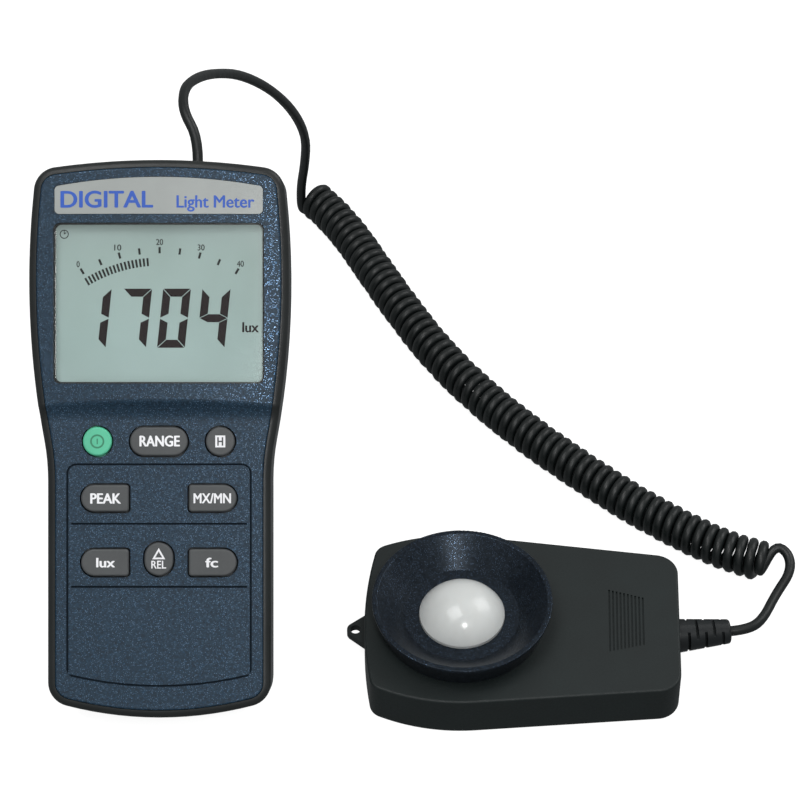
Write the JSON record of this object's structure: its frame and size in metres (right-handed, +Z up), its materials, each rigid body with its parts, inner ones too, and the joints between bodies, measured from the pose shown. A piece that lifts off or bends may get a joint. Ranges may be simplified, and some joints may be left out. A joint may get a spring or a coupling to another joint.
{
  "type": "light meter",
  "caption": "Handheld light meter leaning on its fold-out stand, with a display, push keys and a remote sensor head with a white dome on a curly lead.",
  "frame": {"origin": "bottom centre of the box around the leaning meter and the sensor head, on the surface they stand on, measured without the lead", "axes": "+X to the right along the pair, from the meter to the sensor head; +Y to the back, the way the meter leans; +Z up"},
  "size_m": [0.2126, 0.2182, 0.1229],
  "materials": {
    "case_plastic": "fine-textured moulded black plastic",
    "case_back_plastic": "fine-textured moulded dark grey plastic",
    "panel_paint": "slate blue metallic paint with silver flake",
    "label_plate": "satin printed plate",
    "window_clear": "clear polished plastic",
    "lcd_glass": "grey-green liquid crystal glass",
    "lcd_backing": "white reflector",
    "frame_plastic": "moulded black plastic",
    "elastomer": "striped elastomer",
    "silicone": "soft silicone",
    "carbon_pill": "carbon-loaded rubber",
    "board_green": "green solder mask over glass fibre",
    "chip_black": "moulded epoxy",
    "can_metal": "satin",
    "buzzer_black": "moulded plastic",
    "trimmer_blue": "moulded plastic",
    "battery_jacket": "printed metal jacket",
    "snap_black": "moulded vinyl",
    "wire_red": "vinyl insulation",
    "stand_plastic": "fine-textured moulded plastic",
    "screw_steel": "zinc plated",
    "pin_steel": "bright",
    "key_green": "moulded silicone",
    "key_grey": "moulded silicone",
    "cord_black": "semi-gloss vinyl",
    "boot_black": "moulded vinyl",
    "sensor_plastic": "fine-textured moulded plastic",
    "collar_satin": "satin moulded plastic",
    "dome_white": "white translucent acrylic",
    "filter_green": "green colour-correcting glass",
    "diode_can": "gilt metal can"
  },
  "bodies": {
    "meter": {"front_case": "case_plastic", "face_panel": "panel_paint", "rear_case": "case_back_plastic", "name_label": "label_plate", "display_window": "window_clear", "display_glass": "lcd_glass", "display_backing": "lcd_backing", "display_frame": "frame_plastic", "contact_strips": "elastomer", "keypad_mat": "silicone", "contact_pills": "carbon_pill", "main_board": "board_green", "board_chips": "chip_black", "board_capacitors": "can_metal", "buzzer": "buzzer_black", "trimmer": "trimmer_blue", "battery_9v": "battery_jacket", "battery_snap": "snap_black", "battery_leads": "wire_red", "case_screws": "screw_steel", "stand_pin": "pin_steel", "cord_gland": "boot_black", "signal_leads": "wire_red", "sensor_bottom_case": "sensor_plastic", "sensor_top_case": "sensor_plastic", "sensor_collar": "collar_satin", "diffuser_dome": "dome_white", "filter_holder": "frame_plastic", "filter_glass": "filter_green", "photodiode": "diode_can", "sensor_board": "board_green", "sensor_screws": "screw_steel", "sensor_boot": "boot_black", "sensor_leads": "wire_red", "cord_tail_meter": "cord_black", "cord_coil": "cord_black", "cord_tail_sensor": "cord_black"},
    "stand": {"tilt_stand": "stand_plastic"},
    "door": {"battery_door": "case_back_plastic", "door_screw": "screw_steel"},
    "key_power": {"key_power": "key_green"},
    "key_range": {"key_range": "key_grey"},
    "key_hold": {"key_hold": "key_grey"},
    "key_peak": {"key_peak": "key_grey"},
    "key_max_min": {"key_max_min": "key_grey"},
    "key_lux": {"key_lux": "key_grey"},
    "key_relative": {"key_relative": "key_grey"},
    "key_foot_candle": {"key_foot_candle": "key_grey"}
  },
  "joints": [
    {"name": "stand_hinge", "type": "hinge", "parent": "meter", "child": "stand", "pos_m": [-0.06134, 0.02939, 0.06996], "axis": [1, 0, 0], "range_deg": [-75, 0]},
    {"name": "door_tilt", "type": "hinge", "parent": "meter", "child": "door", "pos_m": [-0.06134, -0.02791, 0.01837], "axis": [-1, 0, 0], "range_deg": [0, 30]},
    {"name": "key_power_press", "type": "slide", "parent": "meter", "child": "key_power", "axis": [0, 0.6691, -0.7431], "range_m": [0, 0.0008], "stiffness_N_per_m": 1500},
    {"name": "key_range_press", "type": "slide", "parent": "meter", "child": "key_range", "axis": [0, 0.6691, -0.7431], "range_m": [0, 0.0008], "stiffness_N_per_m": 1500},
    {"name": "key_hold_press", "type": "slide", "parent": "meter", "child": "key_hold", "axis": [0, 0.6691, -0.7431], "range_m": [0, 0.0008], "stiffness_N_per_m": 1500},
    {"name": "key_peak_press", "type": "slide", "parent": "meter", "child": "key_peak", "axis": [0, 0.6691, -0.7431], "range_m": [0, 0.0008], "stiffness_N_per_m": 1500},
    {"name": "key_max_min_press", "type": "slide", "parent": "meter", "child": "key_max_min", "axis": [0, 0.6691, -0.7431], "range_m": [0, 0.0008], "stiffness_N_per_m": 1500},
    {"name": "key_lux_press", "type": "slide", "parent": "meter", "child": "key_lux", "axis": [0, 0.6691, -0.7431], "range_m": [0, 0.0008], "stiffness_N_per_m": 1500},
    {"name": "key_relative_press", "type": "slide", "parent": "meter", "child": "key_relative", "axis": [0, 0.6691, -0.7431], "range_m": [0, 0.0008], "stiffness_N_per_m": 1500},
    {"name": "key_foot_candle_press", "type": "slide", "parent": "meter", "child": "key_foot_candle", "axis": [0, 0.6691, -0.7431], "range_m": [0, 0.0008], "stiffness_N_per_m": 1500}
  ]
}
